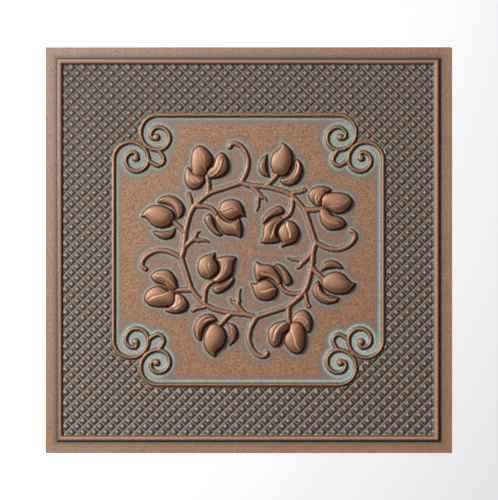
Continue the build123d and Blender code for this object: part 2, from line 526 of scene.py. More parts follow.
# %% [markdown]
# ## One sheet
# Now the quarter is repeated and all forms are put on the sheet. The highest one wins
# wherever two meet, as in a mould that was cut one form after another.

# %% Whole relief
wreath = four_times(np.maximum(stem_relief, leaf_relief))
relief = np.maximum.reduce([bead, field, frame_relief, wreath])
top = GAUGE + relief
print("highest point", round(float(top.max()), 2), "mm")

# %% [markdown]
# ## Patina and painted light, worked out from the relief
# Old copper is darkest in the corner where a form meets the sheet, and a painted shadow widens
# that dark line on the side away from the light. Round the forms lies a grey halo, verdigris
# gathers along the frame and in the scrolls, and what bends outwards is rubbed bright and gets a
# painted highlight. The leaves get painted light and shade by their slope. Each of these becomes
# a mask, an array with a value from 0 to 1 for each point of the grid. Most masks come from how
# far a point is from the nearest form.

# %% Distance and blur on the grid
DIAGONAL = 1.414
RAISED = 0.35
UNREACHED = 1e3


def spread(mask, rounds):
    """Distance in millimetres from a mask, by stepping outwards from it over the grid."""
    d = np.where(mask, 0.0, UNREACHED)
    for _ in range(rounds):
        for axis in (0, 1):
            for way in (1, -1):
                d = np.minimum(d, np.roll(d, way, axis) + STEP)
        for way in (1, -1):
            for other in (1, -1):
                d = np.minimum(d, np.roll(d, (way, other), (0, 1)) + STEP * DIAGONAL)
    return d


def blurred(values, rounds):
    """The same values, softened a little each round."""
    for _ in range(rounds):
        values = (2 * values + np.roll(values, 1, 0) + np.roll(values, -1, 0)) / 4
        values = (2 * values + np.roll(values, 1, 1) + np.roll(values, -1, 1)) / 4
    return values


ridges = np.maximum.reduce([bead, frame_relief, wreath])
raised = ridges > RAISED
flat = ~raised
leaf = four_times(leaf_relief) > RAISED
outside = spread(raised, rounds=22)
within = spread(flat, rounds=6)
in_panel = panel & flat
in_field = ((field > 0) | ((edge < BEAD_LINE) & ~panel)) & flat
print("share of the tile that is raised", round(float(raised.mean()), 3))

# %% [markdown]
# ### Dark corners, rims and painted shade
# The dark line at the foot of a form is patina, and on the side away from the light it is widened
# by a painted shadow. So the forms are also moved one step to the lower right, and the line runs
# round them in both places. The lobes get a brown rim besides, and on that side it is widened by
# painted shade.

# %% Dark corners, rims and painted shade
FOOT_ON_SHEET, FOOT_IN_SHADE = 1.0, 1.1
# How far up a form the dark line reaches: on the frame, on leaves and on the rest
FOOT_UP = (2.0, 1.8, 1.3)
RIM_WIDTH, RIM_IN_SHADE, RIM_STRENGTH = 3.0, 8.0, 0.9
RIM_MOVE = 4


def by_form(on_frame, on_leaf, on_rest):
    """A value for each point of the grid, which depends on the form that stands there."""
    return np.where(frame_relief > RAISED, on_frame, np.where(leaf, on_leaf, on_rest))


# Painted shadow: the forms moved one step to the lower right, where their shadows fall on the sheet
from_shadow_side = spread(np.roll(raised, (1, -1), (0, 1)), rounds=8)
from_shaded_side = spread(np.roll(~leaf, (-RIM_MOVE, RIM_MOVE), (0, 1)), rounds=12)
foot_line_and_shadow = np.maximum(bell(outside, FOOT_ON_SHEET), np.where(flat, bell(from_shadow_side, FOOT_IN_SHADE), 0))
foot = foot_line_and_shadow * bell(within, by_form(*FOOT_UP))
# Painted shade: the brown rim round each lobe is widened on its lower-right side, away from the light
rim_and_painted_shade = np.maximum(bell(within, RIM_WIDTH), bell(from_shaded_side, RIM_IN_SHADE))
rim = np.where(leaf, RIM_STRENGTH * rim_and_painted_shade, 0)
print("foot", round(float(foot.mean()), 3), "rim", round(float(rim.mean()), 3))

# %% [markdown]
# ### Painted light and shade on a leaf
# A lobe gets painted light where it faces the upper left, towards the lamp, and painted shade,
# a redder brown, where it falls away to the lower right. The fall is the slope between two
# points of the grid on either side of each point.

# %% Painted light and shade on a leaf
SLOPE_STEPS = 2
FULL_SLOPE = 0.42
LEVEL_PAINTED_LIGHT = 0.4
soft_relief = blurred(relief, rounds=2)
from_upper_left = np.roll(soft_relief, (SLOPE_STEPS, -SLOPE_STEPS), (0, 1))
from_lower_right = np.roll(soft_relief, (-SLOPE_STEPS, SLOPE_STEPS), (0, 1))
run = 2 * SLOPE_STEPS * STEP * math.sqrt(2)
fall = np.where(leaf, (from_upper_left - from_lower_right) / run, 0)
# Painted shade where a lobe falls to the lower right, painted light where it faces the upper left
leaf_painted_shade = blurred(np.clip(fall / FULL_SLOPE, 0, 1), rounds=1)
painted_light_side = np.where(leaf, np.clip(LEVEL_PAINTED_LIGHT - fall / FULL_SLOPE, 0, 1), 0)
leaf_painted_light = blurred(painted_light_side, rounds=1) * (1 - rim)
print("steepest fall on a leaf", round(float(fall.max()), 2))

# %% [markdown]
# ### Halos
# The grey halo lies on the flat sheet of the panel. It is strong beside the wreath and beside
# the frame, and fades at 8 or 9 mm from them. Round the scrolls it is a wide patch.

# %% Halos
# Where the halo has faded by half, how softly it fades, and how strong it is
WREATH_HALO = (9.5, 2.2, 0.85)
FRAME_HALO = (8.5, 1.8, 0.95)
SCROLL_HALO = (33, 2.5, 0.95)
PATCH_INWARDS, PATCH_OUTWARDS = 3, 2


def soft_step(values, middle, softness, strength=1):
    """A strength where the values are below the middle one, fading to 0 above it."""
    return strength / (1 + np.exp((values - middle) / softness))


by_wreath = spread(wreath > RAISED, rounds=20)
by_frame = np.maximum(from_frame - RIDGE_HALF, 0)
from_scrolls = np.hypot(
    long_side - SCROLL_CENTRE + PATCH_INWARDS,
    short_side - FRAME_STRAIGHT - PATCH_OUTWARDS,
)
halo = np.maximum.reduce([
    soft_step(by_wreath, *WREATH_HALO),
    soft_step(by_frame, *FRAME_HALO),
    soft_step(from_scrolls, *SCROLL_HALO),
])
halo = np.where(in_panel & (wreath <= RAISED), halo, 0)
print("halo", round(float(halo.mean()), 3))

# %% [markdown]
# ### Verdigris
# In the panel, verdigris stands in a thin line a little way off the foot of each form, in a
# wider band along the frame, and all over the inside of scrolls and loops. Beside the wreath
# most of the thin line is chalk. Outside the panel there is a thin line along the frame.

# %% Verdigris
PALE_LINE_OUT, PALE_LINE_WIDTH, PALE_LINE_STRENGTH = 2.4, 1.2, 0.5
NEAR_WREATH, GREEN_NEAR_WREATH, CHALK_GAIN = 9, 0.15, 1.2
BAND_OUT, BAND_WIDTH, BAND_STRENGTH = 1.6, 2.6, 0.8
BEYOND_OUT, BEYOND_WIDTH, BEYOND_STRENGTH = 1.8, 1.2, 0.75
INSIDE_SCROLLS = (21, 1.5)
SCROLL_GREEN, SCROLL_BAND = 0.5, 0.4
LOOP_CENTRE, LOOP_RADIUS, LOOP_GREEN = 137, 10, 0.55
pale_line = PALE_LINE_STRENGTH * bell(outside - PALE_LINE_OUT, PALE_LINE_WIDTH)
near_wreath = by_wreath < NEAR_WREATH
chalk = np.where(in_panel & near_wreath, pale_line * CHALK_GAIN, 0) * (1 - foot)
frame_band = bell(by_frame - BAND_OUT, BAND_WIDTH)
loop_disc = np.hypot(ax - LOOP_CENTRE, ay - LOOP_CENTRE) < LOOP_RADIUS
in_loop = blurred(loop_disc.astype(float), rounds=3)
verdigris = np.maximum.reduce([
    np.where(near_wreath, GREEN_NEAR_WREATH, 1) * pale_line,
    BAND_STRENGTH * frame_band,
    soft_step(from_scrolls, *INSIDE_SCROLLS) * (SCROLL_GREEN + SCROLL_BAND * frame_band),
    LOOP_GREEN * in_loop,
])
beyond_frame = np.where(panel, 0, BEYOND_STRENGTH * bell(by_frame - BEYOND_OUT, BEYOND_WIDTH))
verdigris = np.where(in_panel, verdigris, beyond_frame * flat) * (1 - foot)
print("verdigris", round(float(verdigris.mean()), 3), "chalk", round(float(chalk.mean()), 3))

# %% [markdown]
# ### Crests
# A crest is where the relief stands above a more blurred copy of itself. It is rubbed bright
# and gets a painted highlight as well. The frame, the leaves and the stems differ in width, so
# each has its own height at which the rubbing and the highlight start. The veins are added as
# they were drawn.

# %% Crests and all masks
# Where the rubbing and the painted highlight start: on the frame, on leaves and on the rest
CREST_START = (0.6, 0.35, 0.8)
CREST_RANGE = 0.5
LEAF_CREST_STRENGTH = 0.5
FIELD_START, FIELD_RANGE = 0.8, 0.8
bend = soft_relief - blurred(relief, rounds=9)
# Crests: rubbed bright copper with a painted highlight on it
crest = np.clip((bend - by_form(*CREST_START)) / CREST_RANGE, 0, 1) * raised
crest = np.maximum(crest * np.where(leaf, LEAF_CREST_STRENGTH, 1), four_times(vein_line))
masks = {
    "foot": foot,
    "rim": rim,
    "leaf_painted_shade": leaf_painted_shade,
    "leaf_painted_light": leaf_painted_light,
    "halo": halo,
    "chalk": chalk,
    "verdigris": verdigris,
    "crest": crest,
    "leaf": blurred(leaf.astype(float), rounds=1),
    "field": in_field * np.clip((by_frame - FIELD_START) / FIELD_RANGE, 0, 1),
}
print("masks", {name: round(float(values.mean()), 3) for name, values in masks.items()})

# %% [markdown]
# ## From heights to a mesh
# A full grid would take far more triangles than the shape needs, so it is thinned with a
# Decimate modifier, which keeps triangles where the surface bends. The patina also
# lies on flat sheet, where it would lose its points. So for the thinning only, four of the
# masks are added to the height. Afterwards each remaining point is set back to its true height.

# %% Grid to mesh
def grid_triangles(heights, in_valley):
    """Two triangles for each cell, split along the groove in the field and the crest elsewhere."""
    n, m = heights.shape
    index = np.arange(n * m).reshape(n, m)
    a, b, c, d = index[:-1, :-1], index[1:, :-1], index[1:, 1:], index[:-1, 1:]
    first = heights[:-1, :-1] + heights[1:, 1:]
    second = heights[1:, :-1] + heights[:-1, 1:]
    along_first = ((first < second) == in_valley[:-1, :-1])[..., None]
    one = np.where(along_first, np.stack([a, b, c], -1), np.stack([a, b, d], -1))
    two = np.where(along_first, np.stack([a, c, d], -1), np.stack([b, c, d], -1))
    return np.concatenate([one.reshape(-1, 3), two.reshape(-1, 3)])


def mesh_from(name, points, triangles):
    """A mesh from arrays of points and triangles."""
    mesh = bpy.data.meshes.new(name)
    mesh.vertices.add(len(points))
    mesh.vertices.foreach_set("co", points.astype(np.float32).ravel())
    mesh.loops.add(3 * len(triangles))
    mesh.loops.foreach_set("vertex_index", triangles.astype(np.int32).ravel())
    mesh.polygons.add(len(triangles))
    mesh.polygons.foreach_set("loop_start", np.arange(0, 3 * len(triangles), 3, dtype=np.int32))
    mesh.update(calc_edges=True)
    return mesh


def thinned(name, xs, ys, heights, in_valley, target):
    """Points and triangles of a grid after Decimate."""
    points = np.stack([xs.ravel(), ys.ravel(), heights.ravel()], -1)
    triangles = grid_triangles(heights, in_valley)
    draft = bpy.data.objects.new(name, mesh_from(name, points, triangles))
    bpy.context.scene.collection.objects.link(draft)
    decimate = draft.modifiers.new("thin", "DECIMATE")
    decimate.ratio = target / len(triangles)
    bpy.context.view_layer.update()
    result = draft.evaluated_get(bpy.context.evaluated_depsgraph_get()).to_mesh()
    points = np.empty(3 * len(result.vertices), dtype=np.float32)
    result.vertices.foreach_get("co", points)
    triangles = np.empty(3 * len(result.polygons), dtype=np.int32)
    result.polygons.foreach_get("vertices", triangles)
    mesh = draft.data
    bpy.data.objects.remove(draft)
    bpy.data.meshes.remove(mesh)
    return points.reshape(-1, 3).astype(float), triangles.reshape(-1, 3)


print("triangles before thinning", len(grid_triangles(top, in_field)))

# %% Front
FRONT_TRIANGLES = 166000
# Millimetres that a full mask adds to the height while the grid is thinned
MARK_VERDIGRIS, MARK_HALO, MARK_FOOT, MARK_CREST = 1.2, 0.6, 1.2, 0.8
marked = (
    top
    + MARK_VERDIGRIS * blurred(verdigris, rounds=1)
    + MARK_HALO * blurred(halo, rounds=2)
    + MARK_FOOT * foot
    + MARK_CREST * crest
)
front_points, front_triangles = thinned("draft_front", X, Y, marked, in_field, FRONT_TRIANGLES)
print("front", len(front_points), "points,", len(front_triangles), "triangles")

# %% [markdown]
# The back is the same relief, hollow, a little more than one sheet thickness lower. It is seen
# by nobody once the tile is up, so a coarser grid does. Taking the lowest height round each
# point keeps the back from ever touching the front.

# %% Back
BACK_TRIANGLES = 28000
BACK_GAP = 0.15
STEPS_ROUND = 3
lowest = top
for _ in range(STEPS_ROUND):
    moved = [np.roll(lowest, way, axis) for axis in (0, 1) for way in (1, -1)]
    lowest = np.minimum.reduce([lowest] + moved)
under = np.maximum(blurred(lowest, rounds=2) - GAUGE - BACK_GAP, 0)
under[0], under[-1], under[:, 0], under[:, -1] = 0, 0, 0, 0
every = np.arange(0, 2 * HALF + 1, 2)
coarse = np.ix_(every, every)
nowhere = np.zeros_like(in_field)
back_points, back_triangles = thinned(
    "draft_back", X[coarse], Y[coarse], under[coarse], nowhere[coarse], BACK_TRIANGLES
)
back_triangles = back_triangles[:, ::-1]
print("back", len(back_points), "points,", len(back_triangles), "triangles")

# %% [markdown]
# Thinning moves points sideways, off the grid. So their true heights are read from the arrays
# between grid points, and the points of the rim are set exactly on the edge.

# %% True heights
EDGE_REACH = 0.3
HAIR = 1e-6


def sampled(values, points):
    """Values of a grid array at points that lie between grid points."""
    u = np.clip(points[:, 0] / STEP + HALF, 0, 2 * HALF - HAIR)
    v = np.clip(points[:, 1] / STEP + HALF, 0, 2 * HALF - HAIR)
    i, j = u.astype(int), v.astype(int)
    p, q = u - i, v - j
    near = values[i, j] * (1 - q) + values[i, j + 1] * q
    far = values[i + 1, j] * (1 - q) + values[i + 1, j + 1] * q
    return near * (1 - p) + far * p


front_points[:, 2] = sampled(top, front_points)
back_points[:, 2] = sampled(under, back_points)
for points in (front_points, back_points):
    at_edge = abs(points[:, :2]) > SIDE / 2 - EDGE_REACH
    points[:, :2] = np.where(at_edge, np.sign(points[:, :2]) * SIDE / 2, points[:, :2])
    print("points on the rim", int(at_edge.any(axis=1).sum()))

# %% [markdown]
# Front and back are closed along the four edges. On each edge both have a row of points, and
# the strip between them is filled like a zip, always stepping on in the row that is behind.

# %% Close the edges
def zip_rows(front_row, back_row, front_place, back_place):
    """Triangles between two rows of points that run the same way."""
    triangles = []
    i = j = 0
    last_i, last_j = len(front_row) - 1, len(back_row) - 1
    while i < last_i or j < last_j:
        if i < last_i and (j == last_j or front_place[i + 1] <= back_place[j + 1]):
            triangles.append((front_row[i], back_row[j], front_row[i + 1]))
            i += 1
        else:
            triangles.append((front_row[i], back_row[j], back_row[j + 1]))
            j += 1
    return triangles


rim_triangles = []
offset = len(front_points)
for axis, sign in ((1, -1), (0, 1), (1, 1), (0, -1)):
    forwards = (axis == 1) == (sign < 0)
    rows, places = [], []
    for points in (front_points, back_points):
        row = np.where(abs(points[:, axis] - sign * SIDE / 2) < HAIR)[0]
        along = points[row, 1 - axis] * (1 if forwards else -1)
        order = np.argsort(along)
        rows.append(row[order])
        places.append(along[order])
    rim_triangles += zip_rows(rows[0], rows[1] + offset, places[0], places[1])
print("rim", len(rim_triangles), "triangles")

# %% [markdown]
# All points and triangles go into one mesh, in metres. The masks go with it as attributes of
# its points, where the material can read them. On the back all masks are 0.

# %% The tile
points = np.vstack([front_points, back_points])
triangles = np.vstack([front_triangles, back_triangles + offset, np.array(rim_triangles)])
tile_mesh = mesh_from("tile", points / 1000, triangles)
tile_mesh.validate()
for name, values in masks.items():
    layer = tile_mesh.attributes.new(name, "FLOAT", "POINT")
    data = np.concatenate([sampled(values, front_points), np.zeros(len(back_points))])
    layer.data.foreach_set("value", data.astype(np.float32))
tile = bpy.data.objects.new("tile", tile_mesh)
bpy.context.scene.collection.objects.link(tile)
print("whole tile", len(points), "points,", len(triangles), "triangles")

# %% [markdown]
# ## Smooth and sharp edges
# Pressed sheet is smooth, apart from the studs, whose edges are crisp. So everything is shaded
# smooth, and the edges that turn sharply are marked: on the studs from 20 degrees on, and
# elsewhere only from 40.

# %% Smooth and sharp edges
STUD_ANGLE, FORM_ANGLE = 20, 40
tile_mesh.shade_smooth()


def sharp_edges(angle):
    """Which edges of the tile turn by more than an angle, in degrees."""
    tile_mesh.set_sharp_from_angle(angle=math.radians(angle))
    flags = np.zeros(len(tile_mesh.edges), bool)
    tile_mesh.attributes["sharp_edge"].data.foreach_get("value", flags)
    return flags


ends = np.zeros(2 * len(tile_mesh.edges), np.int32)
tile_mesh.edges.foreach_get("vertices", ends)
on_field = np.append(sampled(masks["field"], front_points) > 0.5, np.zeros(len(back_points), bool))
on_studs = on_field[ends].reshape(-1, 2).all(axis=1)
sharp = np.where(on_studs, sharp_edges(STUD_ANGLE), sharp_edges(FORM_ANGLE))
tile_mesh.attributes["sharp_edge"].data.foreach_set("value", sharp)
print("sharp edges", int(sharp.sum()), "of", len(sharp))

# %% [markdown]
# The mesh is checked before it takes the solid's place: a closed sheet has two faces on every
# edge and a positive volume.

# %% Check and put in place
check = bmesh.new()
check.from_mesh(tile_mesh)
open_edges = sum(1 for e in check.edges if len(e.link_faces) != 2)
volume = check.calc_volume(signed=True)
check.free()
print("open edges", open_edges, "volume", round(volume * 1e6, 1), "cm3")
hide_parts("ceiling_tile")
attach(tile, "root")

# %% [markdown]
# ## Aged copper
# The material is built in layers, from the metal up: warm copper brown with a fine grain, the
# tones of the leaves with painted light and shade and a painted warm sheen, grey dirt, verdigris,
# a darker brown that settled in the corners with a painted shadow beside it, and bright copper
# where hands and cloths have rubbed, with a painted highlight on it. What the layers have in
# common is made as shader node groups with named sockets, so each can be used again with other
# values.

# %% Helpers for shader nodes
MIX_FACTOR, MIX_FIRST, MIX_SECOND, MIX_RESULT = 0, 6, 7, 2


def fill(tree, socket, value):
    """Sets an input to a value, or links it where the value is a socket of another node."""
    if isinstance(value, bpy.types.NodeSocket):
        tree.links.new(value, socket)
    else:
        socket.default_value = value


def math_node(tree, operation, *values, clamp=False):
    """The result of a Math node; each value is a number or a socket."""
    node = tree.nodes.new("ShaderNodeMath")
    node.operation = operation
    node.use_clamp = clamp
    for socket, value in zip(node.inputs, values):
        fill(tree, socket, value)
    return node.outputs[0]


def mixed(tree, factor, first, second):
    """A mix of two colours; each input is a socket or a value."""
    node = tree.nodes.new("ShaderNodeMix")
    node.data_type = "RGBA"
    for number, value in ((MIX_FACTOR, factor), (MIX_FIRST, first), (MIX_SECOND, second)):
        fill(tree, node.inputs[number], value)
    return node.outputs[MIX_RESULT]


def noise(tree, vector, scale, detail, roughness):
    """The value of a noise texture."""
    node = tree.nodes.new("ShaderNodeTexNoise")
    node.inputs["Detail"].default_value = detail
    node.inputs["Roughness"].default_value = roughness
    tree.links.new(vector, node.inputs["Vector"])
    fill(tree, node.inputs["Scale"], scale)
    return node.outputs["Fac"]


def new_group(name, inputs, outputs):
    """A node group with a Vector input, number inputs with their defaults, and number outputs."""
    group = bpy.data.node_groups.new(name, "ShaderNodeTree")
    group.interface.new_socket(name="Vector", in_out="INPUT", socket_type="NodeSocketVector")
    for socket, value in inputs.items():
        item = group.interface.new_socket(name=socket, in_out="INPUT", socket_type="NodeSocketFloat")
        item.default_value = value
    for socket in outputs:
        group.interface.new_socket(name=socket, in_out="OUTPUT", socket_type="NodeSocketFloat")
    print("group", name, "with sockets", [item.name for item in group.interface.items_tree])
    return group, group.nodes.new("NodeGroupInput").outputs, group.nodes.new("NodeGroupOutput").inputs


# %% [markdown]
# ### Grain
# The painted sheet has a fine pebble grain of about two millimetres. One group gives the
# grain, which goes into the colour and the bump, and wide patches, which only tint the colour.
# A noise texture stays close to its middle value, so both are stretched to reach from 0 to 1.

# %% Grain group
GRAIN_DETAIL, GRAIN_ROUGHNESS, GRAIN_GAIN, GRAIN_SHIFT = 3.0, 0.7, 5.0, -2.0
PATCH_DETAIL, PATCH_ROUGHNESS, PATCH_GAIN, PATCH_SHIFT = 5.0, 0.65, 3.0, -1.0
grain_group, given, results = new_group(
    "pebble_grain", {"Grain Scale": 400.0, "Patch Scale": 50.0}, ("Grain", "Patches")
)
fine = noise(grain_group, given["Vector"], given["Grain Scale"], GRAIN_DETAIL, GRAIN_ROUGHNESS)
wide = noise(grain_group, given["Vector"], given["Patch Scale"], PATCH_DETAIL, PATCH_ROUGHNESS)
fine = math_node(grain_group, "MULTIPLY_ADD", fine, GRAIN_GAIN, GRAIN_SHIFT, clamp=True)
wide = math_node(grain_group, "MULTIPLY_ADD", wide, PATCH_GAIN, PATCH_SHIFT, clamp=True)
grain_group.links.new(fine, results["Grain"])
grain_group.links.new(wide, results["Patches"])

# %% [markdown]
# ### Deposit
# Verdigris and dirt are deposits, broken up into specks. The group adds noise to the mask, in
# proportion to the mask itself, so that nothing shows where there is no deposit.

# %% Deposit group
SPECK_DETAIL, SPECK_ROUGHNESS, SPECK_GAIN = 3.0, 0.7, 4.0
deposit_group, given, results = new_group(
    "deposit", {"Mask": 0.5, "Speck Scale": 300.0, "Break Up": 0.5}, ("Cover",)
)
specks = noise(deposit_group, given["Vector"], given["Speck Scale"], SPECK_DETAIL, SPECK_ROUGHNESS)
centred = math_node(deposit_group, "SUBTRACT", specks, 0.5)
wobble = math_node(deposit_group, "MULTIPLY", centred, given["Break Up"])
room = math_node(deposit_group, "MULTIPLY", given["Mask"], SPECK_GAIN)
swing = math_node(deposit_group, "MULTIPLY", wobble, room)
cover = math_node(deposit_group, "ADD", given["Mask"], swing, clamp=True)
deposit_group.links.new(cover, results["Cover"])

# %% [markdown]
# ### Square bands
# The bead and the dirt beside it follow squares round the middle of the tile, so their colours
# can be worked out exactly from the position: the larger of |x| and |y| is how far out a point
# is. The group gives a soft line of a given width at a given distance out.

# %% Square band group
band_group, given, results = new_group("square_band", {"Out": 0.28, "Width": 0.002}, ("Band",))
axes = band_group.nodes.new("ShaderNodeSeparateXYZ")
band_group.links.new(given["Vector"], axes.inputs[0])
size_x = math_node(band_group, "ABSOLUTE", axes.outputs["X"])
size_y = math_node(band_group, "ABSOLUTE", axes.outputs["Y"])
far_out = math_node(band_group, "MAXIMUM", size_x, size_y)
beyond = math_node(band_group, "SUBTRACT", far_out, given["Out"])
gap = math_node(band_group, "DIVIDE", beyond, given["Width"])
square = math_node(band_group, "MULTIPLY", gap, gap)
falling = math_node(band_group, "MULTIPLY", square, -1.0)
band_group.links.new(math_node(band_group, "EXPONENT", falling), results["Band"])

# %% [markdown]
# ### Studs
# The studs repeat exactly, so how far up a stud a point lies is worked out the same way: Climb
# is 0 in the grooves and 1 on the points. Slanting is 1 where the nearest groove rises to the
# right and 0 where it falls, and Upper Left is 1 on the one face in four that looks that way.

# %% Diaper group
diaper_group, given, results = new_group(
    "diaper", {"Pitch": 0.01}, ("Climb", "Slanting", "Upper Left")
)
axes = diaper_group.nodes.new("ShaderNodeSeparateXYZ")
diaper_group.links.new(given["Vector"], axes.inputs[0])
climbs, places = [], []
for sign in (1.0, -1.0):
    across = math_node(diaper_group, "MULTIPLY_ADD", axes.outputs["Y"], sign, axes.outputs["X"])
    places.append(math_node(diaper_group, "DIVIDE", across, given["Pitch"]))
    climbs.append(math_node(diaper_group, "PINGPONG", places[-1], 1.0))
slanting = math_node(diaper_group, "LESS_THAN", climbs[1], climbs[0])
turn = math_node(diaper_group, "FLOORED_MODULO", places[1], 2.0)
rising = math_node(diaper_group, "LESS_THAN", turn, 1.0)
diaper_group.links.new(math_node(diaper_group, "MINIMUM", *climbs), results["Climb"])
diaper_group.links.new(slanting, results["Slanting"])
diaper_group.links.new(math_node(diaper_group, "MULTIPLY", slanting, rising), results["Upper Left"])

# %% [markdown]
# ### Start of the material
# The material reads the position and the masks of the mesh. Its layers are laid on one after
# another, each as an amount and a colour.

# %% Start of the material
copper = bpy.data.materials.new("aged_copper")
copper.use_nodes = True
tree = copper.node_tree
tree.nodes.clear()
surface = tree.nodes.new("ShaderNodeOutputMaterial")
shader = tree.nodes.new("ShaderNodeBsdfPrincipled")
tree.links.new(shader.outputs[0], surface.inputs[0])
where = tree.nodes.new("ShaderNodeTexCoord").outputs["Object"]
mask = {}
for name in masks:
    node = tree.nodes.new("ShaderNodeAttribute")
    node.attribute_name = name
    mask[name] = node.outputs["Fac"]
print("masks in the material", list(mask))


def use_group(group, **values):
    """A node group in the copper material; each named socket gets a value or a link."""
    node = tree.nodes.new("ShaderNodeGroup")
    node.node_tree = group
    tree.links.new(where, node.inputs["Vector"])
    for socket, value in values.items():
        fill(tree, node.inputs[socket.replace("_", " ")], value)
    return node.outputs


def deposit(amount, speck_scale, break_up):
    """How much of a deposit covers the surface."""
    return use_group(deposit_group, Mask=amount, Speck_Scale=speck_scale, Break_Up=break_up)["Cover"]


def band(out, width):
    """A soft square line at a distance out, both in millimetres."""
    return use_group(band_group, Out=out / 1000, Width=width / 1000)["Band"]


def times(*amounts):
    """Amounts multiplied together."""
    product = amounts[0]
    for amount in amounts[1:]:
        product = math_node(tree, "MULTIPLY", product, amount)
    return product


def laid_on(colour, *layers):
    """A colour with others laid on it, each as an amount and a colour."""
    for amount, layer_colour in layers:
        colour = mixed(tree, amount, colour, layer_colour)
    return colour


# %% [markdown]
# ### Metal
# The tile changes from its upper left to its lower right: it is greyer at the one and redder at
# the other. So two amounts say how far a point is towards each, and tint the mottled copper.
# Along the edge of the flange both tones are stronger.

# %% Metal
COPPER_DEEP = (0.165, 0.068, 0.031, 1)
COPPER_PALE = (0.430, 0.245, 0.145, 1)
COPPER_GREY = (0.33, 0.245, 0.185, 1)
FLANGE_WARM = (0.50, 0.275, 0.165, 1)
GRAIN_SCALE, PATCH_SCALE = 520.0, 50.0
CHANGE_PER_METRE, MIDDLE = -0.9, 0.5
GREY_TINT, FLANGE_TINT, FLANGE_GLOW = 0.17, 0.5, 0.4
GREY_BAND, WARM_BAND = 14.0, 12.0
grain = use_group(grain_group, Grain_Scale=GRAIN_SCALE, Patch_Scale=PATCH_SCALE)
place = tree.nodes.new("ShaderNodeSeparateXYZ")
tree.links.new(where, place.inputs[0])
down_right = math_node(tree, "SUBTRACT", place.outputs["X"], place.outputs["Y"])
upper_left = math_node(tree, "MULTIPLY_ADD", down_right, CHANGE_PER_METRE, MIDDLE, clamp=True)
lower_right = math_node(tree, "SUBTRACT", 1.0, upper_left)
greyness = math_node(tree, "ADD", grain["Patches"], upper_left)
metal = laid_on(
    mixed(tree, grain["Grain"], COPPER_DEEP, COPPER_PALE),
    (times(greyness, GREY_TINT), COPPER_GREY),
    (times(band(SIDE / 2, GREY_BAND), upper_left, FLANGE_TINT), COPPER_GREY),
    (times(band(SIDE / 2, WARM_BAND), lower_right, FLANGE_GLOW), FLANGE_WARM),
)
print("metal", len(tree.nodes), "nodes so far")

# %% [markdown]
# ### Leaves
# The leaves are a redder and more even brown than the sheet. They get painted light on the side
# that faces the upper left, above all in the upper left of the tile, and painted shade, a redder
# brown, on the other side. Last comes the warm tone of the lower right, a painted sheen, which is
# stronger on the leaves.

# %% Leaves
LEAF_COPPER = (0.325, 0.155, 0.076, 1)
LEAF_PAINTED_LIGHT = (0.42, 0.315, 0.210, 1)
LEAF_PAINTED_SHADE = (0.16, 0.048, 0.030, 1)
COPPER_WARM_SHEEN = (0.55, 0.215, 0.110, 1)
LEAF_TONE, PAINTED_SHADE_TONE = 0.7, 0.75
PAINTED_LIGHT_GAIN, PAINTED_LIGHT_LEAST = 0.5, 0.12
WARM_ON_LEAF, WARM_ON_SHEET = 0.15, 0.25
painted_light_amount = math_node(tree, "MULTIPLY_ADD", upper_left, PAINTED_LIGHT_GAIN, PAINTED_LIGHT_LEAST)
# Painted sheen: a warm, brighter copper towards the lower right of the tile, more of it on the leaves
warm_sheen = math_node(tree, "MULTIPLY_ADD", mask["leaf"], WARM_ON_LEAF, WARM_ON_SHEET)
metal = laid_on(
    metal,
    (times(mask["leaf"], LEAF_TONE), LEAF_COPPER),
    (times(mask["leaf_painted_light"], painted_light_amount), LEAF_PAINTED_LIGHT),
    (times(mask["leaf_painted_shade"], PAINTED_SHADE_TONE), LEAF_PAINTED_SHADE),
    (times(lower_right, warm_sheen), COPPER_WARM_SHEEN),
)
print("leaves", len(tree.nodes), "nodes so far")

# %% [markdown]
# ### Dirt and verdigris
# Grey dirt lies in the halos and along the outside of the bead, then chalk beside the wreath,
# and verdigris last. Verdigris is dull at the upper left and bright at the lower right.

# %% Dirt and verdigris
DIRT = (0.205, 0.182, 0.152, 1)
CHALK = (0.43, 0.40, 0.355, 1)
VERDIGRIS = (0.200, 0.228, 0.202, 1)
VERDIGRIS_PALE = (0.52, 0.67, 0.60, 1)
# Scale of the specks, and how much they break up the deposit
HALO_SPECKS, DIRT_SPECKS = (170.0, 0.45), (90.0, 0.6)
CHALK_SPECKS, GREEN_SPECKS = (260.0, 0.6), (230.0, 0.5)
# Distance out and width of the dirty line, and its amount
DIRT_LINE, DIRT_AMOUNT = (290.0, 5.0), 0.8
dirt_line = times(band(*DIRT_LINE), DIRT_AMOUNT)
green = mixed(tree, upper_left, VERDIGRIS_PALE, VERDIGRIS)
soiled = laid_on(
    metal,
    (deposit(mask["halo"], *HALO_SPECKS), DIRT),
    (deposit(dirt_line, *DIRT_SPECKS), DIRT),
    (deposit(mask["chalk"], *CHALK_SPECKS), CHALK),
    (deposit(mask["verdigris"], *GREEN_SPECKS), green),
)
print("deposits", len(tree.nodes), "nodes so far")

# %% [markdown]
# ### Studs
# A colour ramp over the climb gives pale verdigris in the groove, dark flanks, and a bright tip,
# worn and with a painted highlight. The face that looks to the upper left gets painted shade in
# that part of the tile and painted light in the opposite part. A pale line, partly chalk and
# partly painted light, lies in the grooves that rise to the right, more of it lower down. In the
# other grooves there is more of it away from the diagonal that runs from the upper left to the
# lower right. The tips are rustier on the right.

